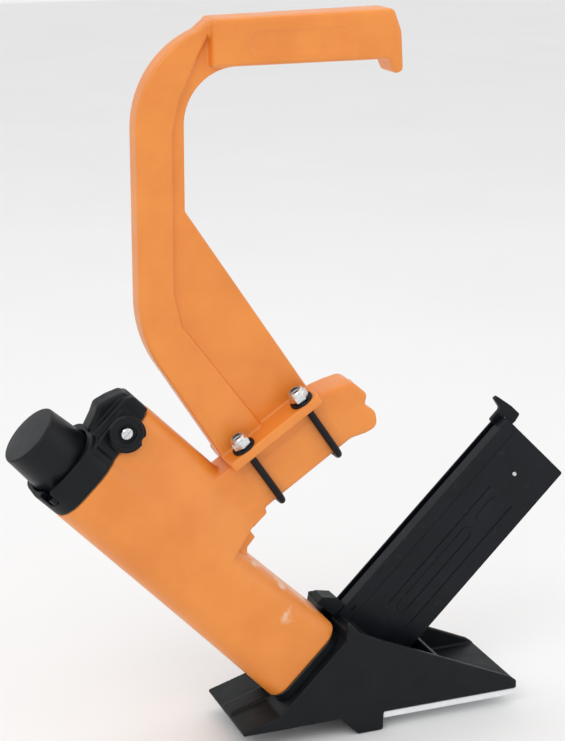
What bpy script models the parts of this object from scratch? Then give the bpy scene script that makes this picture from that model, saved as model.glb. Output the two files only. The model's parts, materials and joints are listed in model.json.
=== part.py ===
"""Mallet-struck pneumatic flooring nailer, modelled in metres with +Z up.

The tool stands as it is used: its sole is level and its drive axis leans back 45 degrees. The world
origin is under the middle of the tool, at the height of the tongue hook's lower edge.
Each casting is an outline drawn in the tool's plane of symmetry (X right, Z up) and thickened along Y.
"""

import math

import bmesh
import bpy
from mathutils import Matrix, Vector

MM = 0.001
GAP = 0.3 * MM  # between pieces that touch

# Driving dimensions of the tool.
SOLE_WIDTH = 85 * MM
HOOK_DROP = 15.5 * MM  # the tongue hook reaches this far below the shoe's underside
HOOK_LEFT = 98.7 * MM
HOOK_RIGHT = 120.7 * MM
DRIVE_ANGLE = math.radians(45)
DRIVE_FOOT = 103.4 * MM  # where the drive axis meets the shoe's underside, from the toe
ARM_ANGLE = math.radians(33.9)
CENTRE_SHIFT = 61.8 * MM  # from the toe to the middle of the tool's length

# Heights along the drive axis, from the shoe's underside up to the strike cap.
DECK = 59.6 * MM
BODY_BASE = 66.8 * MM
BODY_TOP = 307.8 * MM
CAP_TOP = 363.8 * MM
CAP_SKIRT = 323.6 * MM

# Power train.
PISTON_RADIUS = 23.8 * MM
SLEEVE_INNER = 24.0 * MM
SLEEVE_OUTER = 27.0 * MM
BORE_RADIUS = 27.4 * MM
SLEEVE_TOP = 200 * MM
PISTON_REST = 182 * MM
DRIVER_TIP = 56 * MM
STRIKE_RADIUS = 25.6 * MM
STRIKE_BASE_RADIUS = 27.2 * MM
STEM_RADIUS = 7 * MM

# Arm, a hollow beam that carries air from its end to the housing.
ARM_HALF_HEIGHT = 24 * MM
ARM_HALF_WIDTH = 15.8 * MM
U_BOLT_PITCH = 57 * MM
U_BOLT_ROD = 2.9 * MM
NUT_FLATS = 13.4 * MM
NUT_HEIGHT = 9 * MM
WASHER_RADIUS = 9.3 * MM
WASHER_THICKNESS = 1.8 * MM
U_BOLT_REACH = 19.8 * MM  # from the tool's middle plane to each leg

# Handle casting.
GRIP_HALF_WIDTH = 15.5 * MM
BEAM_HALF_WIDTH = 9.5 * MM
WEB_HALF_WIDTH = 5 * MM
FOOT_HALF_WIDTH = 29 * MM
FOOT_THICKNESS = 8 * MM

# Magazine.
MAG_HALF_WIDTH = 9 * MM
MAG_SHEET = 1.5 * MM
MAG_BOTTOM = -14 * MM
MAG_TOP = 61.2 * MM
MAG_START = 5.6 * MM

PARTS = "flooring_nailer"
CUTTERS = "cutters"


# ---------------------------------------------------------------- scene and materials


def clear_scene():
    for obj in list(bpy.data.objects):
        bpy.data.objects.remove(obj)


def new_collection(name):
    collection = bpy.data.collections.new(name)
    bpy.context.scene.collection.children.link(collection)
    return collection


def new_material(name, colour, roughness, metallic=0.0):
    material = bpy.data.materials.new(name)
    material.use_nodes = True
    shader = material.node_tree.nodes["Principled BSDF"]
    shader.inputs["Base Color"].default_value = (*colour, 1.0)
    shader.inputs["Roughness"].default_value = roughness
    shader.inputs["Metallic"].default_value = metallic
    return material


def new_empty(name, location, tilt=0.0, parent=None):
    """An empty turned about Y, which lifts its own X axis by the angle tilt."""
    empty = bpy.data.objects.new(name, None)
    empty.empty_display_size = 0.05
    empty.location = location
    empty.rotation_euler = (0, -tilt, 0)
    empty.parent = parent
    parts.objects.link(empty)
    return empty


clear_scene()
parts = new_collection(PARTS)
cutters = new_collection(CUTTERS)

ORANGE = new_material("orange_enamel", (0.78, 0.28, 0.05), 0.42)
BLACK_CAST = new_material("black_casting", (0.018, 0.021, 0.024), 0.5)
BLACK_RUBBER = new_material("black_rubber", (0.022, 0.025, 0.027), 0.55)
BLACK_STEEL = new_material("black_steel", (0.02, 0.022, 0.025), 0.4, 0.6)
BRIGHT_STEEL = new_material("bright_steel", (0.62, 0.63, 0.64), 0.28, 1.0)
ALUMINIUM = new_material("aluminium", (0.66, 0.67, 0.69), 0.35, 1.0)
BRASS = new_material("brass", (0.72, 0.55, 0.28), 0.3, 1.0)
URETHANE = new_material("urethane", (0.05, 0.05, 0.055), 0.6)
FIBRE = new_material("fibre_gasket", (0.06, 0.055, 0.05), 0.8)
WHITE_PLASTIC = new_material("white_plastic", (0.72, 0.75, 0.76), 0.5)

base = new_empty("tool_base", (-CENTRE_SHIFT, 0, HOOK_DROP))
drive = new_empty("drive_frame", (DRIVE_FOOT, 0, 0), DRIVE_ANGLE, base)
arm = new_empty("arm_frame", (27.2 * MM, 0, 206.5 * MM), ARM_ANGLE, base)


# ---------------------------------------------------------------- modelling helpers


def add_mesh(name, mesh, material, frame, cutter=False):
    obj = bpy.data.objects.new(name, mesh)
    obj.parent = frame
    if cutter:
        obj.hide_render = True
        obj.display_type = "WIRE"
        cutters.objects.link(obj)
    else:
        mesh.materials.clear()
        mesh.materials.append(material)
        parts.objects.link(obj)
    return obj


def mesh_from(bm, name):
    mesh = bpy.data.meshes.new(name)
    bm.to_mesh(mesh)
    bm.free()
    mesh.shade_smooth()
    mesh.set_sharp_from_angle(angle=math.radians(35))
    return mesh


def box(name, material, frame, low, high, round_by=0.0, axis=None, steps=3, cutter=False):
    """A box between two corners, with the edges along one axis (or all of them) rounded."""
    bm = bmesh.new()
    bmesh.ops.create_cube(bm, size=1)
    for vert in bm.verts:
        for i in range(3):
            vert.co[i] = low[i] if vert.co[i] < 0 else high[i]
    if round_by:
        edges = bm.edges[:]
        if axis is not None:
            edges = [e for e in edges if abs((e.verts[1].co - e.verts[0].co).normalized()[axis]) > 0.9]
        bmesh.ops.bevel(bm, geom=edges, offset=round_by, segments=steps, profile=0.5, affect="EDGES")
    return add_mesh(name, mesh_from(bm, name), material, frame, cutter)


def cylinder(name, material, frame, start, end, radius, end_radius=None, sides=32, cutter=False):
    """A cylinder or cone between two points."""
    start, end = Vector(start), Vector(end)
    bm = bmesh.new()
    bmesh.ops.create_cone(
        bm, cap_ends=True, segments=sides, radius1=radius,
        radius2=radius if end_radius is None else end_radius, depth=(end - start).length,
    )
    turn = Vector((0, 0, 1)).rotation_difference(end - start).to_matrix().to_4x4()
    bm.transform(Matrix.Translation((start + end) / 2) @ turn)
    return add_mesh(name, mesh_from(bm, name), material, frame, cutter)


def turned(name, material, frame, profile, sides=40, cutter=False):
    """A closed profile of (radius, height), clockwise from its top outer corner, turned about Z."""
    bm = bmesh.new()
    verts = [bm.verts.new((radius, 0, height)) for radius, height in profile]
    for i, vert in enumerate(verts):
        bm.edges.new((vert, verts[(i + 1) % len(verts)]))
    obj = add_mesh(name, mesh_from(bm, name), material, frame, cutter)
    screw = obj.modifiers.new("turn", "SCREW")
    screw.axis = "Z"
    screw.steps = sides
    screw.render_steps = sides
    screw.use_merge_vertices = True
    screw.merge_threshold = 1e-6
    screw.use_smooth_shade = True
    return obj


def evaluated_mesh(obj):
    bpy.context.view_layer.update()
    graph = bpy.context.evaluated_depsgraph_get()
    return bpy.data.meshes.new_from_object(obj.evaluated_get(graph))


def mesh_of_curve(name, curve, material, frame, turn, cutter=False):
    """The curve as a closed mesh: its loose caps are welded on."""
    guide = bpy.data.objects.new(name + "_guide", curve)
    bpy.context.scene.collection.objects.link(guide)
    mesh = evaluated_mesh(guide)
    bm = bmesh.new()
    bm.from_mesh(mesh)
    bmesh.ops.remove_doubles(bm, verts=bm.verts, dist=1e-6)
    bmesh.ops.recalc_face_normals(bm, faces=bm.faces)
    bm.transform(turn)
    bpy.data.objects.remove(guide)
    bpy.data.meshes.remove(mesh)
    return add_mesh(name, mesh_from(bm, name), material, frame, cutter)


def slab(name, material, frame, outline, half_width, middle=0.0, bevel=0.0, cutter=False):
    """An outline of (x, z) points, thickened along Y about the plane Y = middle."""
    curve = bpy.data.curves.new(name, "CURVE")
    curve.dimensions = "2D"
    curve.fill_mode = "BOTH"
    curve.extrude = half_width - bevel
    curve.bevel_depth = bevel
    curve.bevel_resolution = 1
    curve.offset = -bevel
    spline = curve.splines.new("POLY")
    spline.points.add(len(outline) - 1)
    for point, (x, z) in zip(spline.points, outline):
        point.co = (x, z, 0, 1)
    spline.use_cyclic_u = True
    turn = Matrix.Translation((0, middle, 0)) @ Matrix.Rotation(math.pi / 2, 4, "X")
    return mesh_of_curve(name, curve, material, frame, turn, cutter)


def column(name, material, frame, outline, bottom, top, cutter=False):
    """An outline of (x, y) points, raised along Z from bottom to top."""
    curve = bpy.data.curves.new(name, "CURVE")
    curve.dimensions = "2D"
    curve.fill_mode = "BOTH"
    curve.extrude = (top - bottom) / 2
    spline = curve.splines.new("POLY")
    spline.points.add(len(outline) - 1)
    for point, (x, y) in zip(spline.points, outline):
        point.co = (x, y, 0, 1)
    spline.use_cyclic_u = True
    return mesh_of_curve(name, curve, material, frame, Matrix.Translation((0, 0, (top + bottom) / 2)), cutter)


def rod(name, material, frame, points, radius, resolution=3):
    """A round bar along a run of points."""
    curve = bpy.data.curves.new(name, "CURVE")
    curve.dimensions = "3D"
    curve.bevel_depth = radius
    curve.bevel_resolution = resolution
    curve.use_fill_caps = True
    spline = curve.splines.new("POLY")
    spline.points.add(len(points) - 1)
    for point, place in zip(spline.points, points):
        point.co = (*place, 1)
    return mesh_of_curve(name, curve, material, frame, Matrix.Identity(4))


def boolean(obj, other, operation):
    modifier = obj.modifiers.new(operation.lower(), "BOOLEAN")
    modifier.operation = operation
    modifier.object = other
    modifier.solver = "EXACT"


def cut(obj, *others):
    for other in others:
        boolean(obj, other, "DIFFERENCE")


def join(obj, *others):
    for other in others:
        boolean(obj, other, "UNION")


def arc(centre, radius, start, end, steps):
    """Points on an arc from one angle to another, in degrees."""
    angles = [math.radians(start + (end - start) * i / steps) for i in range(steps + 1)]
    return [(centre[0] + radius * math.cos(a), centre[1] + radius * math.sin(a)) for a in angles]


def fillet(corners, steps=4):
    """A closed outline from (x, z, radius) corners, with an arc at each corner that has a radius."""
    outline = []
    for i, (x, z, radius) in enumerate(corners):
        here = Vector((x, z))
        if not radius:
            outline.append((x, z))
            continue
        before = (Vector(corners[i - 1][:2]) - here).normalized()
        after = (Vector(corners[(i + 1) % len(corners)][:2]) - here).normalized()
        half = before.angle(after) / 2
        reach = radius / math.tan(half)
        centre = here + (before + after).normalized() * radius / math.sin(half)
        first, last = here + before * reach, here + after * reach
        start = math.atan2(first.y - centre.y, first.x - centre.x)
        sweep = math.atan2(last.y - centre.y, last.x - centre.x) - start
        sweep = (sweep + math.pi) % (2 * math.pi) - math.pi
        for k in range(steps + 1):
            angle = start + sweep * k / steps
            outline.append((centre.x + radius * math.cos(angle), centre.y + radius * math.sin(angle)))
    return outline


def mm(*corners):
    """Outline corners given in millimetres."""
    return [tuple(value * MM for value in corner) for corner in corners]


CAP_SCREWS = mm((-22.6, -21.7), (-22.6, 21.7), (22.2, -22.1), (22.2, 22.1))
PAD_SCREWS = mm((134, -30), (134, 30), (228, -30), (228, 30))
RAIL_SCREWS = mm((60, -6.5), (150, -6.5), (240, -6.5))


def chest_outline(grow=0.0):
    """The valve chest's plan: a round nose beside the barrel, with flanks that spread to the barrel."""
    nose = arc((57 * MM, 0), 16 * MM + grow, -72, 72, 8)
    return nose + [(2 * MM, 31.2 * MM + grow), (2 * MM, -31.2 * MM - grow)]


def hex_outline(flats):
    return arc((0, 0), flats / 2 / math.cos(math.radians(30)), 0, 300, 5)


# ---------------------------------------------------------------- housing and power train


def tapered_barrel(name):
    """A loft from a squarish foot at the nose to a nearly round top, which widens towards the nose."""
    sections = (
        (BODY_BASE, mm((-36, -34.5), (39, 34.5)), 14 * MM),
        (165 * MM, mm((-34.4, -33.3), (37, 33.3)), 23 * MM),
        (BODY_TOP, mm((-32, -31.5), (34, 31.5)), 24 * MM),
    )
    bm = bmesh.new()
    rings = []
    for height, ((left, near), (right, far)), corner in sections:
        places = ((left, near), (right, near), (right, far), (left, far))
        outline = fillet([(x, y, corner) for x, y in places], steps=6)
        rings.append([bm.verts.new((x, y, height)) for x, y in outline])
    count = len(rings[0])
    for lower, upper in zip(rings, rings[1:]):
        for i in range(count):
            k = (i + 1) % count
            bm.faces.new((lower[i], lower[k], upper[k], upper[i]))
    bm.faces.new(rings[0])
    bm.faces.new(rings[-1])
    bmesh.ops.recalc_face_normals(bm, faces=bm.faces)
    rim = [e for e in bm.edges if all(v.co.z < BODY_BASE + MM for v in e.verts)]
    bmesh.ops.bevel(bm, geom=rim, offset=2 * MM, segments=2, profile=0.5, affect="EDGES")
    return add_mesh(name, mesh_from(bm, name), ORANGE, drive)


def arm_outline():
    """The arm's side view, in the arm's own frame, with two lobes round its inlet end."""
    return fillet(mm(
        (-64, 24, 0), (74, 24, 4), (86, 20.5, 6), (99, 15.5, 7), (104, -2, 5), (97.5, -8, 3),
        (101.5, -19, 7), (96, -30.5, 7), (85, -28.5, 7), (73, -23.8, 8), (-64, -23.8, 0),
    ))


def build_housing():
    housing = tapered_barrel("main_housing")
    chest = column("chest_core", None, drive, chest_outline(), 178 * MM, BODY_TOP - 0.05 * MM, cutter=True)
    beam = slab("arm_core", None, arm, arm_outline(), ARM_HALF_WIDTH, bevel=3 * MM, cutter=True)
    shoulder = slab("shoulder_core", None, drive, fillet(mm(
        (20, 164, 0), (37.5, 164, 1), (41.5, 168.6, 2), (51.8, 169.1, 1), (53, 177.8, 0), (54.8, 177.8, 0),
        (56, 175.9, 0.5), (72.4, 175.5, 1), (73.8, 180.2, 1), (74, 188, 0), (20, 188, 0),
    )), 15 * MM, bevel=0.3 * MM, cutter=True)
    bore = cylinder("bore_cutter", None, drive, (0, 0, 72 * MM), (0, 0, 320 * MM), BORE_RADIUS,
                    sides=40, cutter=True)
    blade_hole = cylinder("blade_hole_cutter", None, drive, (0, 0, 60 * MM), (0, 0, 73 * MM), 9 * MM,
                          sides=24, cutter=True)
    valve_bore = cylinder("valve_bore_cutter", None, drive, (52 * MM, 0, 236 * MM), (52 * MM, 0, 320 * MM),
                          9.5 * MM, sides=24, cutter=True)
    valve_duct = cylinder("valve_duct_cutter", None, drive, (20 * MM, 0, 240 * MM), (52 * MM, 0, 240 * MM),
                          5 * MM, sides=16, cutter=True)
    duct = cylinder("duct_cutter", None, arm, (-70 * MM, 0, 0), (120 * MM, 0, 0), 11 * MM,
                    sides=24, cutter=True)
    join(housing, chest, beam, shoulder)
    cut(housing, bore, blade_hole, valve_bore, valve_duct, duct)
    for i, (x, y) in enumerate(CAP_SCREWS, 1):
        cut(housing, cylinder(f"screw_hole_{i}_cutter", None, drive, (x, y, 286 * MM), (x, y, 320 * MM),
                              2.4 * MM, sides=12, cutter=True))


def build_power_train():
    turned("cylinder_sleeve", ALUMINIUM, drive, [
        (SLEEVE_OUTER, SLEEVE_TOP), (SLEEVE_OUTER, 72.4 * MM),
        (SLEEVE_INNER, 72.4 * MM), (SLEEVE_INNER, SLEEVE_TOP),
    ])
    turned("bumper", URETHANE, drive, mm(
        (20, 102), (23.6, 96), (23.6, 72.4), (8.5, 72.4), (8.5, 96), (11, 102),
    ), sides=32)
    groove = PISTON_RADIUS - 2.2 * MM
    piston = turned("piston", ALUMINIUM, drive, [
        (PISTON_RADIUS, PISTON_REST + 15 * MM), (PISTON_RADIUS, PISTON_REST + 10.3 * MM),
        (groove, PISTON_REST + 10.3 * MM), (groove, PISTON_REST + 5.7 * MM),
        (PISTON_RADIUS, PISTON_REST + 5.7 * MM), (PISTON_RADIUS, PISTON_REST + 2 * MM),
        (PISTON_RADIUS - 2 * MM, PISTON_REST), (0, PISTON_REST), (0, PISTON_REST + 15 * MM),
    ])
    turned("piston_ring", BLACK_RUBBER, drive, [
        (PISTON_RADIUS, PISTON_REST + 10 * MM), (PISTON_RADIUS, PISTON_REST + 6 * MM),
        (PISTON_RADIUS - 1.9 * MM, PISTON_REST + 6 * MM), (PISTON_RADIUS - 1.9 * MM, PISTON_REST + 10 * MM),
    ])
    cut(piston, box("blade_slot_cutter", None, drive, (-1.1 * MM, -6.5 * MM, PISTON_REST - 2 * MM),
                    (1.1 * MM, 6.5 * MM, PISTON_REST + 8 * MM), cutter=True))
    box("driver_blade", BRIGHT_STEEL, drive, (-0.8 * MM, -6.2 * MM, DRIVER_TIP),
        (0.8 * MM, 6.2 * MM, PISTON_REST + 7.7 * MM))
    turned("head_valve", URETHANE, drive, mm(
        (26.5, 215), (26.5, 204), (24, 201), (9.5, 201), (9.5, 208), (12, 215),
    ), sides=32)


def build_head():
    ring = column("frame_cap", BLACK_CAST, drive, fillet(mm(
        (-31.5, -30.5, 21), (31.5, -30.5, 21), (31.5, 30.5, 21), (-31.5, 30.5, 21),
    ), steps=6), BODY_TOP + 1.3 * MM, 331.5 * MM)
    chest = column("cap_chest_core", None, drive, chest_outline(-0.4 * MM), BODY_TOP + 1.35 * MM, 327 * MM,
                   cutter=True)
    hump = slab("cap_hump_core", None, drive, fillet(mm(
        (27, 310, 0), (27, 331.2, 0), (67, 331, 5), (72.3, 325, 4), (72.3, 310, 0),
    )), 14.5 * MM, bevel=2.5 * MM, cutter=True)
    crest = slab("cap_crest_core", None, drive, fillet(mm(
        (31, 312, 0), (31, 333.5, 0), (42, 337, 6), (50, 340.6, 5), (60, 337, 6), (70.5, 331.5, 5),
        (71.5, 312, 0),
    )), 9 * MM, bevel=2.5 * MM, cutter=True)
    collar = cylinder("cap_collar_core", None, drive, (48.8 * MM, -8 * MM, 317 * MM),
                      (48.8 * MM, -23.2 * MM, 317 * MM), 8 * MM, sides=24, cutter=True)
    join(ring, chest, hump, crest, collar)
    well = cylinder("cap_well_cutter", None, drive, (0, 0, 313 * MM), (0, 0, 345 * MM), 28.2 * MM,
                    sides=40, cutter=True)
    stem_hole = cylinder("stem_hole_cutter", None, drive, (0, 0, 300 * MM), (0, 0, 320 * MM),
                         STEM_RADIUS + 0.4 * MM, sides=24, cutter=True)
    chamber = cylinder("cap_chamber_cutter", None, drive, (52 * MM, 0, 300 * MM), (52 * MM, 0, 330 * MM),
                       9.5 * MM, sides=24, cutter=True)
    port = cylinder("exhaust_port_cutter", None, drive, (57.5 * MM, 0, 317 * MM),
                    (57.5 * MM, -30 * MM, 317 * MM), 2.5 * MM, sides=12, cutter=True)
    pilot = cylinder("deflector_pilot_cutter", None, drive, (48.8 * MM, -12 * MM, 317 * MM),
                     (48.8 * MM, -30 * MM, 317 * MM), 2.3 * MM, sides=12, cutter=True)
    cut(ring, well, stem_hole, chamber, port, pilot)
    for i, (x, y) in enumerate(CAP_SCREWS, 1):
        hole = cylinder(f"cap_hole_{i}_cutter", None, drive, (x, y, 300 * MM), (x, y, 330 * MM), 2.6 * MM,
                        sides=12, cutter=True)
        pocket = cylinder(f"cap_pocket_{i}_cutter", None, drive, (x, y, 320 * MM), (x, y, 345 * MM), 5.2 * MM,
                          sides=20, cutter=True)
        mouth = cylinder(f"cap_mouth_{i}_cutter", None, drive, (1.3 * x, 1.3 * y, 320 * MM),
                         (1.3 * x, 1.3 * y, 345 * MM), 5 * MM, sides=20, cutter=True)
        cut(ring, hole, pocket, mouth)
        screw = cylinder(f"cap_screw_{i}", BLACK_STEEL, drive, (x, y, 320.3 * MM), (x, y, 325.6 * MM),
                         4.2 * MM, sides=20)
        shank = cylinder(f"cap_screw_{i}_shank", None, drive, (x, y, 289 * MM), (x, y, 321 * MM), 2.1 * MM,
                         sides=12, cutter=True)
        join(screw, shank)
        hexagon = [(x + px, y + py) for px, py in hex_outline(4 * MM)]
        socket = column(f"cap_socket_{i}_cutter", None, drive, hexagon, 323 * MM, 327 * MM, cutter=True)
        cut(screw, socket)
    gasket = column("cap_gasket", FIBRE, drive, fillet(mm(
        (-31, -30, 20), (31, -30, 20), (31, 30, 20), (-31, 30, 20),
    )), BODY_TOP + 0.3 * MM, BODY_TOP + 1 * MM)
    flap = column("gasket_chest_core", None, drive, chest_outline(-1 * MM), BODY_TOP + 0.3 * MM,
                  BODY_TOP + 1 * MM, cutter=True)
    join(gasket, flap)
    cut(gasket, cylinder("gasket_bore_cutter", None, drive, (0, 0, 300 * MM), (0, 0, 320 * MM), BORE_RADIUS,
                         sides=40, cutter=True))
    cut(gasket, chamber)
    for i, (x, y) in enumerate(CAP_SCREWS, 1):
        cut(gasket, cylinder(f"gasket_hole_{i}_cutter", None, drive, (x, y, 300 * MM), (x, y, 320 * MM),
                             2.6 * MM, sides=12, cutter=True))
    turned("valve_sleeve", BRASS, drive, mm(
        (9.1, 306), (9.1, 250), (6.6, 250), (6.6, 306),
    ), sides=24).location.x = 52 * MM
    turned("exhaust_valve", URETHANE, drive, mm(
        (6.3, 300), (6.3, 262), (3, 262), (3, 300),
    ), sides=20).location.x = 52 * MM


def build_strike_cap():
    cap = turned("strike_cap", BLACK_RUBBER, drive, [
        (STRIKE_RADIUS - 2.6 * MM, CAP_TOP), (STRIKE_RADIUS - 0.7 * MM, CAP_TOP - 0.8 * MM),
        (STRIKE_RADIUS, CAP_TOP - 2.6 * MM), (STRIKE_BASE_RADIUS, CAP_SKIRT), (20 * MM, CAP_SKIRT),
        (20 * MM, 350 * MM), (0, 350 * MM), (0, CAP_TOP),
    ], sides=48)
    socket = cylinder("cap_socket_cutter", None, drive, (0, 0, 340 * MM), (0, 0, 356 * MM), 7.3 * MM,
                      sides=24, cutter=True)
    cut(cap, socket)
    turned("plunger", BRIGHT_STEEL, drive, mm(
        (7, 355.6), (7, 349.6), (15, 349.6), (15, 345.6), (7, 345.6), (7, 303), (8.6, 301), (8.6, 222),
        (0, 222), (0, 355.6),
    ), sides=24)
    coils, steps = 6, 12
    low, high, radius = 314.4 * MM, 344.2 * MM, 11 * MM
    turns = coils * steps
    helix = [
        (radius * math.cos(2 * math.pi * i / steps), radius * math.sin(2 * math.pi * i / steps),
         low + (high - low) * i / turns)
        for i in range(turns + 1)
    ]
    rod("plunger_spring", BRIGHT_STEEL, drive, helix, 1.1 * MM, resolution=1)


def build_deflector():
    """A stepped disc on the cap's near side: a back plate with one notch, and a smaller ring before it."""
    centre = (48.8 * MM, 317 * MM)
    disc = cylinder("exhaust_deflector", BLACK_CAST, drive, (centre[0], -23.5 * MM, centre[1]),
                    (centre[0], -26.2 * MM, centre[1]), 16.5 * MM, sides=40)
    front = cylinder("deflector_front_core", None, drive, (centre[0], -25 * MM, centre[1]),
                     (centre[0], -29.4 * MM, centre[1]), 13.2 * MM, 12.6 * MM, sides=40, cutter=True)
    join(disc, front)
    x = centre[0] + 19.4 * MM * math.cos(math.radians(-70))
    z = centre[1] + 19.4 * MM * math.sin(math.radians(-70))
    cut(disc, cylinder("deflector_notch_cutter", None, drive, (x, -15 * MM, z), (x, -35 * MM, z), 5 * MM,
                       sides=20, cutter=True))
    hole = cylinder("deflector_hole_cutter", None, drive, (centre[0], -15 * MM, centre[1]),
                    (centre[0], -35 * MM, centre[1]), 2.5 * MM, sides=20, cutter=True)
    counterbore = cylinder("deflector_counterbore_cutter", None, drive, (centre[0], -27.1 * MM, centre[1]),
                           (centre[0], -35 * MM, centre[1]), 7.8 * MM, sides=24, cutter=True)
    cut(disc, hole, counterbore)
    screw = cylinder("deflector_screw", BRIGHT_STEEL, drive, (centre[0], -27.4 * MM, centre[1]),
                     (centre[0], -30.4 * MM, centre[1]), 4.6 * MM, 4.0 * MM, sides=24)
    shank = cylinder("deflector_screw_shank", None, drive, (centre[0], -13 * MM, centre[1]),
                     (centre[0], -28 * MM, centre[1]), 2 * MM, sides=16, cutter=True)
    join(screw, shank)
    cut(screw, box("deflector_screw_slot_cutter", None, drive,
                   (centre[0] - 6 * MM, -31 * MM, centre[1] - 0.5 * MM),
                   (centre[0] + 6 * MM, -29 * MM, centre[1] + 0.5 * MM), cutter=True))


def build_inlet():
    turned("inlet_bushing", BRASS, arm, mm(
        (10.7, 0), (10.7, -20), (6.6, -20), (6.6, 0),
    ), sides=24).rotation_euler = (0, math.pi / 2, 0)
    bpy.data.objects["inlet_bushing"].location.x = 101 * MM


# ---------------------------------------------------------------- shoe and nose


def build_shoe():
    half = SOLE_WIDTH / 2
    shoe = slab("shoe", BLACK_CAST, base, fillet(mm(
        (0, 0, 0), (0, 2.8, 0), (31.3, 12.1, 0), (86.9, 67.7, 0), (88.9, 85.6, 2), (97.8, 74.2, 2),
        (116, 64.8, 3), (236.5, 10.9, 0), (242, 6.8, 1.5), (242, 0, 0),
    ), steps=2), half)
    hook = slab("hook_core", None, base, fillet(mm(
        (HOOK_RIGHT / MM, 3, 0), (HOOK_RIGHT / MM, -15.5, 1), (HOOK_LEFT / MM, -15.5, 1), (79.9, 3, 0),
    ), steps=2), half - 0.01 * MM, cutter=True)
    ridge = slab("toe_ridge_core", None, base, mm(
        (1.5, 2), (1.5, 5), (36, 16), (36, 8),
    ), 9 * MM, cutter=True)
    join(shoe, hook, ridge)
    pocket = slab("pocket_cutter", None, base, fillet(mm(
        (49, 115, 0), (91.8, 72.4, 0), (97, 77.6, 0), (106, 77, 0), (106, 30, 6), (120, 6, 4), (166, 5.2, 0),
        (166, 120, 0), (49, 121, 0),
    )), half - 4.5 * MM, cutter=True)
    end_pocket = slab("end_pocket_cutter", None, base, mm(
        (170.5, 120), (170.5, 5.5), (236, 6.5), (256, 7), (256, 120),
    ), half - 4.5 * MM, cutter=True)
    slot = box("magazine_slot_cutter", None, drive, (MAG_START - 0.4 * MM, -9.4 * MM, MAG_BOTTOM - 0.4 * MM),
               (300 * MM, 9.4 * MM, 150 * MM), cutter=True)
    guide_hole = box("guide_hole_cutter", None, drive, (-9.3 * MM, -12.3 * MM, -40 * MM),
                     (5.9 * MM, 12.3 * MM, 80 * MM), cutter=True)
    cut(shoe, pocket, end_pocket, slot, guide_hole)
    for i, (x, y) in enumerate(PAD_SCREWS, 1):
        cut(shoe, cylinder(f"pad_screw_{i}_hole_cutter", None, base, (x, y, -2 * MM), (x, y, 4.6 * MM),
                           1.9 * MM, sides=12, cutter=True))


def build_sole_pad():
    pad = box("sole_pad", WHITE_PLASTIC, base, (HOOK_RIGHT + 0.4 * MM, -41.5 * MM, -5.8 * MM),
              (241.5 * MM, 41.5 * MM, -GAP), round_by=0.8 * MM)
    for i, (x, y) in enumerate(PAD_SCREWS, 1):
        cut(pad, cylinder(f"pad_hole_{i}_cutter", None, base, (x, y, -8 * MM), (x, y, 2 * MM), 2 * MM,
                          sides=12, cutter=True))
        cut(pad, cylinder(f"pad_sink_{i}_cutter", None, base, (x, y, -8 * MM), (x, y, -2.6 * MM), 4.3 * MM,
                          sides=20, cutter=True))
        screw = cylinder(f"pad_screw_{i}", BRIGHT_STEEL, base, (x, y, -5.4 * MM), (x, y, -2.9 * MM), 4 * MM,
                         2.6 * MM, sides=20)
        join(screw, cylinder(f"pad_screw_{i}_shank", None, base, (x, y, -3.4 * MM), (x, y, 4.2 * MM),
                             1.6 * MM, sides=12, cutter=True))


def build_nose():
    flange = column("nose_flange", BLACK_CAST, drive, fillet(mm(
        (-36, -35, 14), (35.8, -35, 14), (35.8, 35, 14), (-36, 35, 14),
    )), DECK + 0.3 * MM, 65.4 * MM)
    window = cylinder("flange_window_cutter", None, drive, (0, 0, 50 * MM), (0, 0, 80 * MM), 9 * MM, sides=24,
                      cutter=True)
    cut(flange, window)
    gasket = column("nose_gasket", FIBRE, drive, fillet(mm(
        (-35, -33.6, 14), (35.5, -33.6, 14), (35.5, 33.6, 14), (-35, 33.6, 14),
    )), 65.7 * MM, 66.5 * MM)
    cut(gasket, window)
    guide = box("driver_guide", BRIGHT_STEEL, drive, (-9 * MM, -12 * MM, -12.4 * MM),
                (5.3 * MM, 12 * MM, DECK - GAP))
    cut(guide, box("channel_cutter", None, drive, (-1.1 * MM, -6.6 * MM, -20 * MM),
                   (1.1 * MM, 6.6 * MM, 70 * MM), cutter=True))
    cut(guide, box("feed_window_cutter", None, drive, (0, -6.6 * MM, -11 * MM), (10 * MM, 6.6 * MM, 48 * MM),
                   cutter=True))


# ---------------------------------------------------------------- magazine


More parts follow.
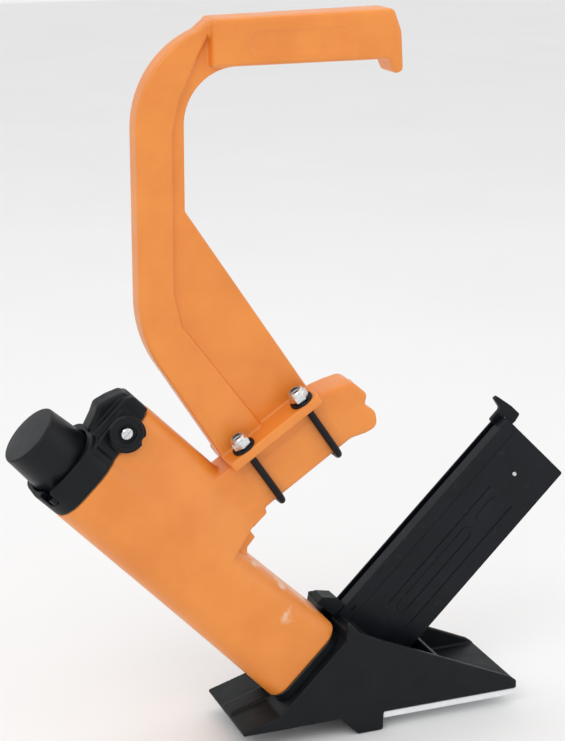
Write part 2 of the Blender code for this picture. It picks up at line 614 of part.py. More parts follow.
def build_magazine():
    half = MAG_HALF_WIDTH
    inner = half - MAG_SHEET
    near = slab("magazine_plate_near", BLACK_STEEL, drive, fillet(mm(
        (5.6, -5, 0), (14.6, -14, 0), (257.5, -14, 2), (257.5, 48.3, 1), (5.6, 48.3, 0),
    )), MAG_SHEET / 2, -half + MAG_SHEET / 2)
    slab("magazine_plate_far", BLACK_STEEL, drive, fillet(mm(
        (5.6, -5, 0), (14.6, -14, 0), (257.5, -14, 2), (257.5, 61.2, 1), (46, 61.2, 2), (42, 55, 0),
        (5.6, 55, 0),
    )), MAG_SHEET / 2, half - MAG_SHEET / 2)
    for i, (x, z) in enumerate(RAIL_SCREWS, 1):
        cut(bpy.data.objects["magazine_plate_far"],
            cylinder(f"far_hole_{i}_cutter", None, drive, (x, 4 * MM, z), (x, 20 * MM, z), 2.1 * MM, sides=12,
                     cutter=True))
    cut(near, cylinder("rivet_hole_cutter", None, drive, (229 * MM, -20 * MM, 21.5 * MM),
                       (229 * MM, 0, 21.5 * MM), 1.5 * MM, sides=12, cutter=True))
    rivet = cylinder("magazine_rivet", BRIGHT_STEEL, drive, (229 * MM, -half - 0.3 * MM, 21.5 * MM),
                     (229 * MM, -half - 1.1 * MM, 21.5 * MM), 2 * MM, 1.4 * MM, sides=16)
    join(rivet, cylinder("rivet_shank", None, drive, (229 * MM, -inner - 0.1 * MM, 21.5 * MM),
                         (229 * MM, -half - 0.5 * MM, 21.5 * MM), 1.2 * MM, sides=12, cutter=True))
    slab("magazine_rail", BRIGHT_STEEL, drive, mm((5.6, 0.8), (256, 0.8), (256, 46.5), (5.6, 46.5)), 4.4 * MM)
    floor = slab("magazine_floor", BRIGHT_STEEL, drive, mm(
        (5.6, -4.4), (14.8, -13.6), (256, -13.6), (256, 0.5), (5.6, 0.5),
    ), inner - 0.3 * MM)
    for i, (x, z) in enumerate(RAIL_SCREWS, 1):
        cut(floor, cylinder(f"rail_hole_{i}_cutter", None, drive, (x, -2 * MM, z), (x, 20 * MM, z), 2.1 * MM,
                            sides=12, cutter=True))
        screw = cylinder(f"rail_screw_{i}", BRIGHT_STEEL, drive, (x, half + GAP, z), (x, half + 2.6 * MM, z),
                         3.6 * MM, 3 * MM, sides=20)
        join(screw, cylinder(f"rail_screw_{i}_shank", None, drive, (x, -1.5 * MM, z), (x, half + 0.8 * MM, z),
                             1.8 * MM, sides=12, cutter=True))
    cover = slab("magazine_cover", BLACK_STEEL, drive, fillet(mm(
        (36.5, 48.6, 0), (257.5, 48.6, 0), (257.5, 61.2, 0), (43, 61.2, 3),
    )), MAG_SHEET / 2, -half + MAG_SHEET / 2)
    join(cover, box("cover_top_core", None, drive, (46.5 * MM, -half + 0.01 * MM, MAG_TOP - MAG_SHEET),
                    (257.4 * MM, 1.2 * MM, MAG_TOP - 0.01 * MM), cutter=True))
    slab("magazine_clamp", BLACK_CAST, drive, fillet(mm(
        (43.2, 61.5, 0), (43.2, 86.5, 0), (49.5, 86.5, 1), (56.5, 74, 1), (56.5, 61.5, 0),
    )), 10 * MM, bevel=0.6 * MM)


def build_pusher():
    """The pusher straddles the rail; its tab rises through the slot and hooks over the open end."""
    pusher = box("pusher", BLACK_STEEL, drive, (200 * MM, -6.8 * MM, 2 * MM), (252 * MM, 6.8 * MM, 57.5 * MM))
    straddle = box("pusher_straddle_cutter", None, drive, (190 * MM, -4.8 * MM, -5 * MM),
                   (260 * MM, 4.8 * MM, 47 * MM), cutter=True)
    nest = box("spring_nest_cutter", None, drive, (216 * MM, -5.4 * MM, 46 * MM),
               (232 * MM, 0.4 * MM, 70 * MM), cutter=True)
    cut(pusher, straddle, nest)
    turned("pusher_spring", BRIGHT_STEEL, drive, mm(
        (4.6, 2.2), (4.6, -2.2), (2.4, -2.2), (2.4, 2.2),
    ), sides=24)
    spring = bpy.data.objects["pusher_spring"]
    spring.rotation_euler = (math.pi / 2, 0, 0)
    spring.location = (224 * MM, -2.5 * MM, 52.4 * MM)
    slab("pusher_tab", BLACK_STEEL, drive, fillet(mm(
        (248, 57.9, 0), (258.6, 57.9, 0), (258.6, 47.6, 0), (262, 47.2, 1), (269, 48.6, 2), (268.8, 60, 4),
        (266.3, 76, 1), (262.8, 77, 1), (260.6, 66, 3), (248, 66, 2),
    ), steps=3), 2.1 * MM, 4.3 * MM)


# ---------------------------------------------------------------- handle and its fastenings


def handle_beam():
    """The thick rim of the handle: down from the grip, round a long bend and straight into the foot."""
    outer = [(-4, 556.6), (-12.6, 555.6)] + arc((7, 478), 76, 112, 180, 8)
    outer += arc((27, 352), 96, 180, 214, 4)
    foot = [point_on_arm(-17.3, 31), point_on_arm(22.5, 31)]
    inner = [(-35.6, 331), (-41, 356), (-41, 476), (-36, 498), (-26, 530), (-8, 541)]
    return mm(*(outer + foot + inner))


def point_on_arm(x, z):
    """A point of the arm's frame, in the base's frame, both in millimetres."""
    c, s = math.cos(ARM_ANGLE), math.sin(ARM_ANGLE)
    return 27.2 + x * c - z * s, 206.5 + x * s + z * c


def handle_web():
    """The thin web inside the beam, which spreads into a gusset above the foot."""
    outer = [(0, 548)] + arc((7, 478), 70, 112, 180, 6) + arc((27, 352), 90, 180, 214, 3)
    foot = [point_on_arm(-14, 31), point_on_arm(69, 31)]
    inner = [(-31, 417)] + arc((10, 480), 41, 180, 92, 7)
    return mm(*(outer + foot + inner))


def build_handle():
    handle = slab("handle", ORANGE, base, handle_beam(), BEAM_HALF_WIDTH, bevel=1.5 * MM)
    web = slab("web_core", None, base, handle_web(), WEB_HALF_WIDTH, bevel=1 * MM, cutter=True)
    grip = slab("grip_core", None, base, fillet(mm(
        (-12, 522, 2), (-12, 557, 4), (126, 560, 6), (136, 546, 20), (139.5, 514, 4), (134, 511, 3),
        (124, 522.6, 4),
    )), GRIP_HALF_WIDTH, bevel=4 * MM, cutter=True)
    foot = box("foot_core", None, arm, (-17.5 * MM, -FOOT_HALF_WIDTH, ARM_HALF_HEIGHT + GAP),
               (69.5 * MM, FOOT_HALF_WIDTH, ARM_HALF_HEIGHT + GAP + FOOT_THICKNESS), round_by=4 * MM, axis=2,
               cutter=True)
    join(handle, web, grip, foot)
    for i in range(2):
        for side in (-1, 1):
            cut(handle, cylinder(f"bolt_hole_{i}_{side + 1}_cutter", None, arm,
                                 (i * U_BOLT_PITCH, side * U_BOLT_REACH, 0),
                                 (i * U_BOLT_PITCH, side * U_BOLT_REACH, 33.5 * MM), U_BOLT_ROD + 0.4 * MM,
                                 sides=16, cutter=True))


def build_u_bolts():
    """Each bolt runs up both sides of the arm, with its bend under the arm and its nuts on the foot."""
    top_of_foot = ARM_HALF_HEIGHT + GAP + FOOT_THICKNESS
    bottom = -ARM_HALF_HEIGHT - GAP - U_BOLT_ROD
    corner = 8 * MM
    for i in range(2):
        x = i * U_BOLT_PITCH
        near = [(x, -U_BOLT_REACH, top_of_foot + 11 * MM)]
        bend = arc((-U_BOLT_REACH + corner, bottom + corner), corner, 180, 270, 5)
        run = [(x, y, z) for y, z in bend]
        mirrored = [(x, -y, z) for x, y, z in reversed(near + run)]
        rod(f"u_bolt_{i + 1}", BLACK_STEEL, arm, near + run + mirrored, U_BOLT_ROD, resolution=2)
        for side in (-1, 1):
            number = 2 * i + (side + 3) // 2
            washer = turned(f"washer_{number}", BLACK_STEEL, arm, [
                (WASHER_RADIUS, WASHER_THICKNESS), (WASHER_RADIUS, 0),
                (U_BOLT_ROD + GAP, 0), (U_BOLT_ROD + GAP, WASHER_THICKNESS),
            ], sides=24)
            washer.location = (x, side * U_BOLT_REACH, top_of_foot + GAP)
            nut = column(f"nut_{number}", BRIGHT_STEEL, arm, hex_outline(NUT_FLATS), 0, NUT_HEIGHT)
            nut.location = (x, side * U_BOLT_REACH, top_of_foot + 2 * GAP + WASHER_THICKNESS)
            thread = cylinder(f"nut_{number}_thread_cutter", None, nut, (0, 0, -5 * MM), (0, 0, 12 * MM),
                              U_BOLT_ROD + GAP, sides=16, cutter=True)
            cut(nut, thread)


build_housing()
build_power_train()
build_head()
build_strike_cap()
build_deflector()
build_inlet()
build_shoe()
build_sole_pad()
build_nose()
build_magazine()
build_pusher()
build_handle()
build_u_bolts()
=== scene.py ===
"""Looks of a mallet-struck flooring nailer: castings, magazine, fastenings, paint, light and camera.

Shapes are drawn in millimetres in the tool's own frames, as the CAD part draws them: the base frame stands
on the shoe's underside, the drive frame leans back 45 degrees along the cylinder, and the arm frame follows
the arm. Each frame's matrix brings a shape into the row frame, in metres.
"""

import json
import math

import bmesh
import bpy
from mathutils import Matrix, Quaternion, Vector


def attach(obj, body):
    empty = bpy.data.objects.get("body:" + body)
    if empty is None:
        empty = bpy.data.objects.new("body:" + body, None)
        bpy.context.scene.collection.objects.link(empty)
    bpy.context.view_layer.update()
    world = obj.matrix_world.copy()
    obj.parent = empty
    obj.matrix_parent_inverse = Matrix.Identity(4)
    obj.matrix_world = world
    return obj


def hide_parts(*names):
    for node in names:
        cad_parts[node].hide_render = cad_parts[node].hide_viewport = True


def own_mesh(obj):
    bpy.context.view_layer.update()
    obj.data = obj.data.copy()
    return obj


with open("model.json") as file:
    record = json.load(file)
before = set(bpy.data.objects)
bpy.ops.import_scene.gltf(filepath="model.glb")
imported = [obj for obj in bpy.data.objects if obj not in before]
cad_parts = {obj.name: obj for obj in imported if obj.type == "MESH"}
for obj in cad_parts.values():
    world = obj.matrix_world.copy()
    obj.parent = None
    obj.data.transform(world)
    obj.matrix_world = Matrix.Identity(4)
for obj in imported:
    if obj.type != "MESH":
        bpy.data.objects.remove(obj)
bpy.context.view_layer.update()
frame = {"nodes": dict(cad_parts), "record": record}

# Frames of the tool.
MM = 0.001
TOE_TO_MIDDLE = 61.8
HOOK_DROP = 15.5
BASE = Matrix.Scale(MM, 4) @ Matrix.Translation((-TOE_TO_MIDDLE, 0, HOOK_DROP))
DRIVE = BASE @ Matrix.Translation((103.4, 0, 0)) @ Matrix.Rotation(math.radians(-45), 4, "Y")
ARM_ANGLE = math.radians(33.9)
ARM = BASE @ Matrix.Translation((27.2, 0, 206.5)) @ Matrix.Rotation(-ARM_ANGLE, 4, "Y")

# Castings are joined as voxels, so that every step between their solids gets a cast fillet.
FINE_VOXEL = 0.75 * MM
COARSE_VOXEL = 0.95 * MM

BODY_BASE = 66.8
BODY_TOP = 307.8
CAP_TOP = 363.8
BORE = 27.4  # radius of the bore that takes the cylinder sleeve
EXHAUST_BORE = 9.5
AIR_BORE = 11
CAP_WELL = 28.2  # radius of the frame cap's well, round the strike cap
DISC = (48.8, 317)  # middle of the exhaust deflector in the drive frame
MAGAZINE_HALF = 9.0
SHEET = 1.5  # thickness of the magazine's plates
U_BOLTS = (0, 57)  # places along the arm
U_BOLT_REACH = 19.8
U_BOLT_ROD = 2.9
NUT_FLATS = 13.4
NUT_HEIGHT = 9
FOOT_TOP = 32.3  # top of the handle's foot in the arm frame
ARM_UNDERSIDE = -24
# Bare marks in the paint: places in the drive frame, and how far each one reaches, in metres.
KNOCKS = ((38, -14, 107), (38.5, -14, 97), (38.5, -14, 87), (36, -19, 127), (36, -16, 157), (22, -33, 111))
KNOCK_REACH = 0.013
CAP_SCREWS = ((-22.6, -21.7), (-22.6, 21.7), (22.2, -22.1), (22.2, 22.1))


# ---------------------------------------------------------------- solids


def cleaned(bm):
    bmesh.ops.remove_doubles(bm, verts=bm.verts, dist=1e-4)
    bmesh.ops.recalc_face_normals(bm, faces=bm.faces)
    return bm


def arc(centre, radius, start, end, steps=24):
    """Points on an arc from one angle to another, in degrees."""
    angles = [math.radians(start + (end - start) * i / steps) for i in range(steps + 1)]
    return [(centre[0] + radius * math.cos(a), centre[1] + radius * math.sin(a)) for a in angles]


def fillet(corners, steps=8):
    """A closed outline from (x, z, radius) corners, with an arc at each corner that has a radius."""
    outline = []
    for i, (x, z, radius) in enumerate(corners):
        here = Vector((x, z))
        if not radius:
            outline.append((x, z))
            continue
        before = (Vector(corners[i - 1][:2]) - here).normalized()
        after = (Vector(corners[(i + 1) % len(corners)][:2]) - here).normalized()
        half = before.angle(after) / 2
        centre = here + (before + after).normalized() * radius / math.sin(half)
        reach = radius / math.tan(half)
        first, last = here + before * reach - centre, here + after * reach - centre
        start = math.atan2(first.y, first.x)
        sweep = (math.atan2(last.y, last.x) - start + math.pi) % (2 * math.pi) - math.pi
        outline += arc(centre, radius, math.degrees(start), math.degrees(start + sweep), steps)
    return outline


def evaluated(obj):
    """A new mesh of an object, with its modifiers or its curve's thickness applied."""
    bpy.context.view_layer.update()
    return bpy.data.meshes.new_from_object(obj.evaluated_get(bpy.context.evaluated_depsgraph_get()))


def raised(outline, depth, bevel):
    """A flat outline thickened by depth about the plane Z = 0."""
    curve = bpy.data.curves.new("outline", "CURVE")
    curve.dimensions = "2D"
    curve.fill_mode = "BOTH"
    curve.extrude = depth / 2 - bevel
    curve.bevel_depth = bevel
    curve.bevel_resolution = 2
    curve.offset = -bevel
    spline = curve.splines.new("POLY")
    spline.points.add(len(outline) - 1)
    for point, (x, z) in zip(spline.points, outline):
        point.co = (x, z, 0, 1)
    spline.use_cyclic_u = True
    guide = bpy.data.objects.new("outline", curve)
    bpy.context.scene.collection.objects.link(guide)
    mesh = evaluated(guide)
    bm = bmesh.new()
    bm.from_mesh(mesh)
    bpy.data.objects.remove(guide)
    bpy.data.curves.remove(curve)
    bpy.data.meshes.remove(mesh)
    return cleaned(bm)


def slab(outline, half_width, middle=0.0, bevel=0.0):
    """An outline of (x, z) points, thickened along Y."""
    bm = raised(outline, 2 * half_width, bevel)
    bm.transform(Matrix.Translation((0, middle, 0)) @ Matrix.Rotation(math.pi / 2, 4, "X"))
    return bm


def column(outline, bottom, top, bevel=0.0):
    """An outline of (x, y) points, raised along Z."""
    bm = raised(outline, top - bottom, bevel)
    bm.transform(Matrix.Translation((0, 0, (top + bottom) / 2)))
    return bm


def block(low, high, round_by=0.0, axis=None, segments=5):
    """A box between two corners, with the edges along one axis (or all of them) rounded."""
    bm = bmesh.new()
    bmesh.ops.create_cube(bm, size=1)
    for vert in bm.verts:
        vert.co = [low[i] if vert.co[i] < 0 else high[i] for i in range(3)]
    if round_by:
        edges = bm.edges[:]
        if axis is not None:
            edges = [e for e in edges if abs((e.verts[1].co - e.verts[0].co).normalized()[axis]) > 0.9]
        bmesh.ops.bevel(bm, geom=edges, offset=round_by, segments=segments, profile=0.5, affect="EDGES")
    return bm


def cylinder(start, end, radius, end_radius=None, sides=64):
    start, end = Vector(start), Vector(end)
    bm = bmesh.new()
    bmesh.ops.create_cone(
        bm, cap_ends=True, segments=sides, radius1=radius,
        radius2=radius if end_radius is None else end_radius, depth=(end - start).length,
    )
    turn = Vector((0, 0, 1)).rotation_difference(end - start).to_matrix().to_4x4()
    bm.transform(Matrix.Translation((start + end) / 2) @ turn)
    return bm


def turned(profile, sides=96):
    """A closed profile of (radius, height), turned about Z."""
    bm = bmesh.new()
    rings = []
    for radius, height in profile:
        angles = [2 * math.pi * i / sides for i in range(sides)]
        rings.append([bm.verts.new((radius * math.cos(a), radius * math.sin(a), height)) for a in angles])
    for lower, upper in zip(rings, rings[1:] + rings[:1]):
        for i in range(sides):
            k = (i + 1) % sides
            bm.faces.new((lower[i], lower[k], upper[k], upper[i]))
    bmesh.ops.dissolve_degenerate(bm, dist=1e-4, edges=bm.edges)
    return cleaned(bm)


def moved(bm, matrix):
    bm.transform(matrix)
    return bm


def placed(place, bms):
    return [moved(bm, place) for bm in bms]


# ---------------------------------------------------------------- pieces


def mesh_of(bm, name):
    mesh = bpy.data.meshes.new(name)
    bm.to_mesh(mesh)
    bm.free()
    mesh.shade_smooth()
    return mesh


def helper(bm):
    """A solid that only feeds a Boolean."""
    obj = bpy.data.objects.new("helper", mesh_of(bm, "helper"))
    bpy.context.scene.collection.objects.link(obj)
    return obj


def add_boolean(obj, operation, other):
    boolean = obj.modifiers.new("boolean", "BOOLEAN")
    boolean.operation = operation
    boolean.solver = "MANIFOLD"
    boolean.object = other


def worked(bms, cuts=(), tune=()):
    """One mesh from solids in the row frame: joined, cut, then put through the modifiers in tune."""
    first = helper(bms[0])
    helpers = [first]
    for operation, others in (("UNION", bms[1:]), ("DIFFERENCE", cuts)):
        for bm in others:
            other = helper(bm)
            other.hide_render = True
            helpers.append(other)
            add_boolean(first, operation, other)
    for kind, settings in tune:
        modifier = first.modifiers.new(kind.lower(), kind)
        for key, value in settings.items():
            setattr(modifier, key, value)
    mesh = evaluated(first)
    for obj in helpers:
        spent = obj.data
        bpy.data.objects.remove(obj)
        bpy.data.meshes.remove(spent)
    return mesh


def piece(name, mesh, material, body, nodes=(), sharp=0):
    """An object that rides on a body, and stands for the CAD nodes named."""
    mesh.name = name
    mesh.materials.clear()
    mesh.materials.append(material)
    if sharp:
        mesh.set_sharp_from_angle(angle=math.radians(sharp))
    obj = bpy.data.objects.new(name, mesh)
    bpy.context.scene.collection.objects.link(obj)
    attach(obj, body)
    if nodes:
        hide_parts(*nodes)
    return obj


def cast_look(voxel, smoothing, keep):
    """Modifiers that turn sharp joined solids into a casting with rounded edges and filled corners."""
    return (
        ("REMESH", {"mode": "VOXEL", "voxel_size": voxel, "use_smooth_shade": True}),
        ("SMOOTH", {"factor": 0.5, "iterations": smoothing}),
        ("DECIMATE", {"ratio": keep}),
    )


def machined_look(width):
    """Modifiers that break every sharp edge of a machined or pressed piece, and keep its flats flat."""
    bevel = {"width": width * MM, "segments": 2, "limit_method": "ANGLE", "angle_limit": math.radians(30)}
    return (("BEVEL", bevel), ("WEIGHTED_NORMAL", {"weight": 60, "keep_sharp": True}))


# ---------------------------------------------------------------- materials


def new_shader(name):
    material = bpy.data.materials.new(name)
    material.use_nodes = True
    nodes = material.node_tree.nodes
    return material, nodes, material.node_tree.links, nodes["Principled BSDF"]


def noise(nodes, links, scale, detail=3.0, roughness=0.55):
    """Noise at so many bumps a metre, fixed to the piece."""
    place = nodes.new("ShaderNodeTexCoord")
    texture = nodes.new("ShaderNodeTexNoise")
    texture.inputs["Scale"].default_value = scale
    texture.inputs["Detail"].default_value = detail
    texture.inputs["Roughness"].default_value = roughness
    links.new(place.outputs["Object"], texture.inputs["Vector"])
    return texture.outputs["Fac"]


def ramp(nodes, links, source, low, high, dark, light):
    """Maps source, between low and high, onto the range from dark to light."""
    node = nodes.new("ShaderNodeMapRange")
    for key, value in (("From Min", low), ("From Max", high), ("To Min", dark), ("To Max", light)):
        node.inputs[key].default_value = value
    links.new(source, node.inputs["Value"])
    return node.outputs["Result"]


def mixed(nodes, links, factor, first, second):
    """A colour between two colours, each three numbers or a socket."""
    node = nodes.new("ShaderNodeMix")
    node.data_type = "RGBA"
    links.new(factor, node.inputs["Factor"])
    for socket, colour in ((node.inputs[6], first), (node.inputs[7], second)):
        if isinstance(colour, tuple):
            socket.default_value = (*colour, 1)
        else:
            links.new(colour, socket)
    return node.outputs[2]


def uneven_gloss(nodes, links, shader, grain, low, high):
    """Roughness that wanders between low and high with a noise of (scale, detail)."""
    source = noise(nodes, links, *grain)
    links.new(ramp(nodes, links, source, 0.3, 0.7, low, high), shader.inputs["Roughness"])


def bumped(nodes, links, shader, layers):
    """Stacks noise layers of (scale, height in metres, strength) as bumps."""
    normal = None
    for scale, height, strength in layers:
        bump = nodes.new("ShaderNodeBump")
        bump.inputs["Strength"].default_value = strength
        bump.inputs["Distance"].default_value = height
        links.new(noise(nodes, links, scale, 2.0), bump.inputs["Height"])
        if normal:
            links.new(normal, bump.inputs["Normal"])
        normal = bump.outputs["Normal"]
    links.new(normal, shader.inputs["Normal"])


def combined(nodes, links, first, second, operation):
    """Two values joined by a math operation, such as MULTIPLY."""
    node = nodes.new("ShaderNodeMath")
    node.operation = operation
    links.new(first, node.inputs[0])
    links.new(second, node.inputs[1])
    return node.outputs[0]


def worn_edges(nodes, links, low, high, scale):
    """1 along convex edges, broken up by noise, and 0 elsewhere."""
    geometry = nodes.new("ShaderNodeNewGeometry")
    edge = ramp(nodes, links, geometry.outputs["Pointiness"], low, high, 0, 1)
    patch = ramp(nodes, links, noise(nodes, links, scale, 4.0), 0.5, 0.68, 0, 1)
    return combined(nodes, links, edge, patch, "MULTIPLY")


def near_point(nodes, links, point, reach):
    """1 at a point of the resting tool, in metres, and 0 from reach on."""
    place = nodes.new("ShaderNodeTexCoord")
    distance = nodes.new("ShaderNodeVectorMath")
    distance.operation = "DISTANCE"
    distance.inputs[1].default_value = point
    links.new(place.outputs["Object"], distance.inputs[0])
    return ramp(nodes, links, distance.outputs["Value"], 0, reach, 1, 0)


def enamel():
    """Satin orange paint over a sand casting, paler where it is thin and bare where the nose is knocked."""
    material, nodes, links, shader = new_shader("orange_enamel")
    cloudy = ramp(nodes, links, noise(nodes, links, 22, 4.0), 0.35, 0.65, 0, 1)
    body = mixed(nodes, links, cloudy, (0.74, 0.222, 0.026), (0.81, 0.262, 0.036))
    edges = worn_edges(nodes, links, 0.53, 0.6, 160)
    painted = mixed(nodes, links, edges, body, (0.84, 0.38, 0.12))
    knocked = None
    for knock in KNOCKS:
        spot = near_point(nodes, links, tuple(DRIVE @ Vector(knock)), KNOCK_REACH)
        knocked = combined(nodes, links, knocked, spot, "MAXIMUM") if knocked else spot
    flakes = ramp(nodes, links, noise(nodes, links, 95, 5.0), 0.3, 0.75, 0, 1)
    chips = combined(nodes, links, knocked, flakes, "MULTIPLY")
    bare = ramp(nodes, links, chips, 0.22, 0.44, 0, 0.7)
    links.new(mixed(nodes, links, bare, painted, (0.80, 0.60, 0.44)), shader.inputs["Base Color"])
    uneven_gloss(nodes, links, shader, (60, 5.0), 0.34, 0.48)
    shader.inputs["Coat Weight"].default_value = 0.2
    shader.inputs["Coat Roughness"].default_value = 0.25
    bumped(nodes, links, shader, ((45, 0.0012, 0.22), (110, 0.0006, 0.2), (420, 0.00025, 0.14)))
    return material


def black_paint(name, colour, low, high, grain, strength, worn=True):
    """Black paint, its grain given as bumps a metre, worn to grey along the edges of a casting."""
    material, nodes, links, shader = new_shader(name)
    dust = ramp(nodes, links, noise(nodes, links, 35, 5.0), 0.4, 0.75, 0, 0.6)
    body = mixed(nodes, links, dust, colour, tuple(1.6 * c + 0.002 for c in colour))
    if worn:
        body = mixed(nodes, links, worn_edges(nodes, links, 0.53, 0.62, 240), body, (0.036, 0.039, 0.042))
    else:
        rubbed = ramp(nodes, links, noise(nodes, links, 130, 6.0), 0.6, 0.72, 0, 0.5)
        body = mixed(nodes, links, rubbed, body, (0.017, 0.019, 0.022))
    links.new(body, shader.inputs["Base Color"])
    uneven_gloss(nodes, links, shader, (80, 4.0), low, high)
    shader.inputs["Specular IOR Level"].default_value = 0.2
    bumped(nodes, links, shader, ((grain, 0.0002, strength), (grain / 6, 0.0004, strength * 0.6)))
    return material


def moulded(name, colour, low, high, strength, specular=0.5):
    """Rubber or plastic with a faint moulded grain and scuffs."""
    material, nodes, links, shader = new_shader(name)
    scuffs = ramp(nodes, links, noise(nodes, links, 150, 6.0), 0.55, 0.75, 0, 0.5)
    body = mixed(nodes, links, scuffs, colour, tuple(min(1, 1.5 * c + 0.004) for c in colour))
    links.new(body, shader.inputs["Base Color"])
    uneven_gloss(nodes, links, shader, (45, 4.0), low, high)
    shader.inputs["Specular IOR Level"].default_value = specular
    bumped(nodes, links, shader, ((1300, 0.00012, strength),))
    return material


def metal(name, colour, low, high, grain=900):
    """Bare metal with fine drawn scratches and slightly uneven gloss."""
    material, nodes, links, shader = new_shader(name)
    shader.inputs["Metallic"].default_value = 1
    tarnish = ramp(nodes, links, noise(nodes, links, 120, 5.0), 0.4, 0.75, 0, 0.7)
    dull = tuple(0.72 * c for c in colour)
    links.new(mixed(nodes, links, tarnish, colour, dull), shader.inputs["Base Color"])
    uneven_gloss(nodes, links, shader, (260, 4.0), low, high)
    bumped(nodes, links, shader, ((grain, 0.00008, 0.2),))
    return material


ORANGE = enamel()
BLACK_CAST = black_paint("black_casting", (0.0035, 0.0053, 0.007), 0.38, 0.54, 900, 0.25)
BLACK_MACHINED = black_paint("black_machined", (0.0035, 0.0053, 0.007), 0.36, 0.5, 900, 0.18, worn=False)
BLACK_STEEL = black_paint("black_steel", (0.0035, 0.0048, 0.0075), 0.32, 0.46, 1500, 0.12, worn=False)
BLACK_RUBBER = moulded("black_rubber", (0.0035, 0.005, 0.007), 0.34, 0.46, 0.2, 0.24)
WHITE_PLASTIC = moulded("white_plastic", (0.78, 0.81, 0.82), 0.35, 0.5, 0.15)
URETHANE = moulded("urethane", (0.05, 0.05, 0.055), 0.45, 0.6, 0.2)
FIBRE = moulded("fibre_gasket", (0.06, 0.055, 0.05), 0.7, 0.85, 0.5)
BRIGHT_STEEL = metal("bright_steel", (0.74, 0.75, 0.76), 0.2, 0.36)
ALUMINIUM = metal("turned_aluminium", (0.70, 0.71, 0.72), 0.28, 0.42)
BRASS = metal("turned_brass", (0.76, 0.58, 0.28), 0.22, 0.36)

CAD_LOOKS = {
    "orange_enamel": ORANGE,
    "black_casting": BLACK_CAST,
    "black_rubber": BLACK_RUBBER,
    "black_steel": BLACK_STEEL,
    "bright_steel": BRIGHT_STEEL,
    "turned_aluminium": ALUMINIUM,
    "turned_brass": BRASS,
    "urethane": URETHANE,
    "fibre_gasket": FIBRE,
    "white_plastic": WHITE_PLASTIC,
}


def dress_cad_nodes():
    """Every CAD node that stays takes the look of its slot in the record."""
    for entry in frame["record"]["subparts"]:
        node = frame["nodes"][entry["node"]]
        node.data.materials.clear()
        node.data.materials.append(CAD_LOOKS[entry["material_slot"]])


# ---------------------------------------------------------------- castings


def chest_outline(grow=0.0):
    """The valve chest's plan: a round nose beside the barrel, with flanks that spread to the barrel."""
    return arc((57, 0), 16 + grow, -72, 72, 32) + [(2, 31.2 + grow), (2, -31.2 - grow)]


def tapered_barrel():
    """A loft from a squarish foot at the nose to a nearly round top, which widens towards the nose."""
    sections = (
        (BODY_BASE, ((-36, -34.5), (39, 34.5)), 14),
        (165, ((-34.4, -33.3), (37, 33.3)), 23),
        (BODY_TOP, ((-32, -31.5), (34, 31.5)), 24),
    )
    bm = bmesh.new()
    rings = []
    for height, ((left, near), (right, far)), corner in sections:
        places = ((left, near), (right, near), (right, far), (left, far))
        outline = fillet([(x, y, corner) for x, y in places], 20)
        rings.append([bm.verts.new((x, y, height)) for x, y in outline])
    count = len(rings[0])
    for lower, upper in zip(rings, rings[1:]):
        for i in range(count):
            k = (i + 1) % count
            bm.faces.new((lower[i], lower[k], upper[k], upper[i]))
    bm.faces.new(rings[0])
    bm.faces.new(rings[-1])
    bmesh.ops.recalc_face_normals(bm, faces=bm.faces)
    rim = [e for e in bm.edges if all(v.co.z < BODY_BASE + 1 for v in e.verts)]
    bmesh.ops.bevel(bm, geom=rim, offset=2, segments=3, profile=0.5, affect="EDGES")
    return bm


def chest_shoulders():
    """A loft that fills the hollow between barrel and chest flanks, and ends below the exhaust disc."""
    bm = bmesh.new()
    rings = []
    for height, (x, y) in ((178.2, (22.8, 31.5)), (268, (19.1, 30.6)), (299, (19.1, 26.5))):
        outline = ((2, -31), (x, -y), (61, -15.5), (61, 15.5), (x, y), (2, 31))
        rings.append([bm.verts.new((*place, height)) for place in outline])
    for lower, upper in zip(rings, rings[1:]):
        for i in range(6):
            bm.faces.new((lower[i], lower[(i + 1) % 6], upper[(i + 1) % 6], upper[i]))
    bm.faces.new(rings[0])
    bm.faces.new(rings[-1])
    return cleaned(bm)


def arm_outline():
    return fillet((
        (-64, 24, 0), (74, 24, 4), (86, 20.5, 6), (99, 15.5, 7), (104, -2, 5), (97.5, -8, 3),
        (101.5, -19, 7), (96, -30.5, 7), (85, -28.5, 7), (73, -23.8, 8), (-64, -23.8, 0),
    ))


def shoulder_outline():
    """The steps under the valve chest, with a notch, where the arm leaves the barrel."""
    return fillet((
        (20, 164, 0), (37.5, 164, 1), (41.5, 168.6, 2), (51.8, 169.1, 1), (53, 177.8, 0),
        (54.8, 177.8, 0), (56, 175.9, 0.5), (72.4, 175.5, 1), (73.8, 180.2, 1), (74, 188, 0), (20, 188, 0),
    ))


def build_housing():
    rib = fillet(((-12, -13, 5), (-12, 13, 5), (70, 13, 5), (70, -13, 5)))
    solids = placed(DRIVE, [
        tapered_barrel(),
        column(chest_outline(), 178, BODY_TOP - 0.05),
        chest_shoulders(),
        slab(shoulder_outline(), 15, bevel=0.3),
    ])
    solids += placed(ARM, [
        slab(arm_outline(), 15.8, bevel=4),
        slab(rib, 16.5, bevel=0.6),
    ])
    cuts = placed(DRIVE, [
        cylinder((0, 0, 72), (0, 0, 320), BORE),
        cylinder((0, 0, 60), (0, 0, 73), 9),
        cylinder((52, 0, 236), (52, 0, 320), EXHAUST_BORE),
    ])
    cuts += placed(ARM, [cylinder((-70, 0, 0), (120, 0, 0), AIR_BORE)])
    mesh = worked(solids, cuts, cast_look(COARSE_VOXEL, 10, 0.4))
    piece("housing_casting", mesh, ORANGE, "tool", ["main_housing"])


def point_on_arm(x, z):
    """A point of the arm frame, in the base frame."""
    c, s = math.cos(ARM_ANGLE), math.sin(ARM_ANGLE)
    return 27.2 + x * c - z * s, 206.5 + x * s + z * c


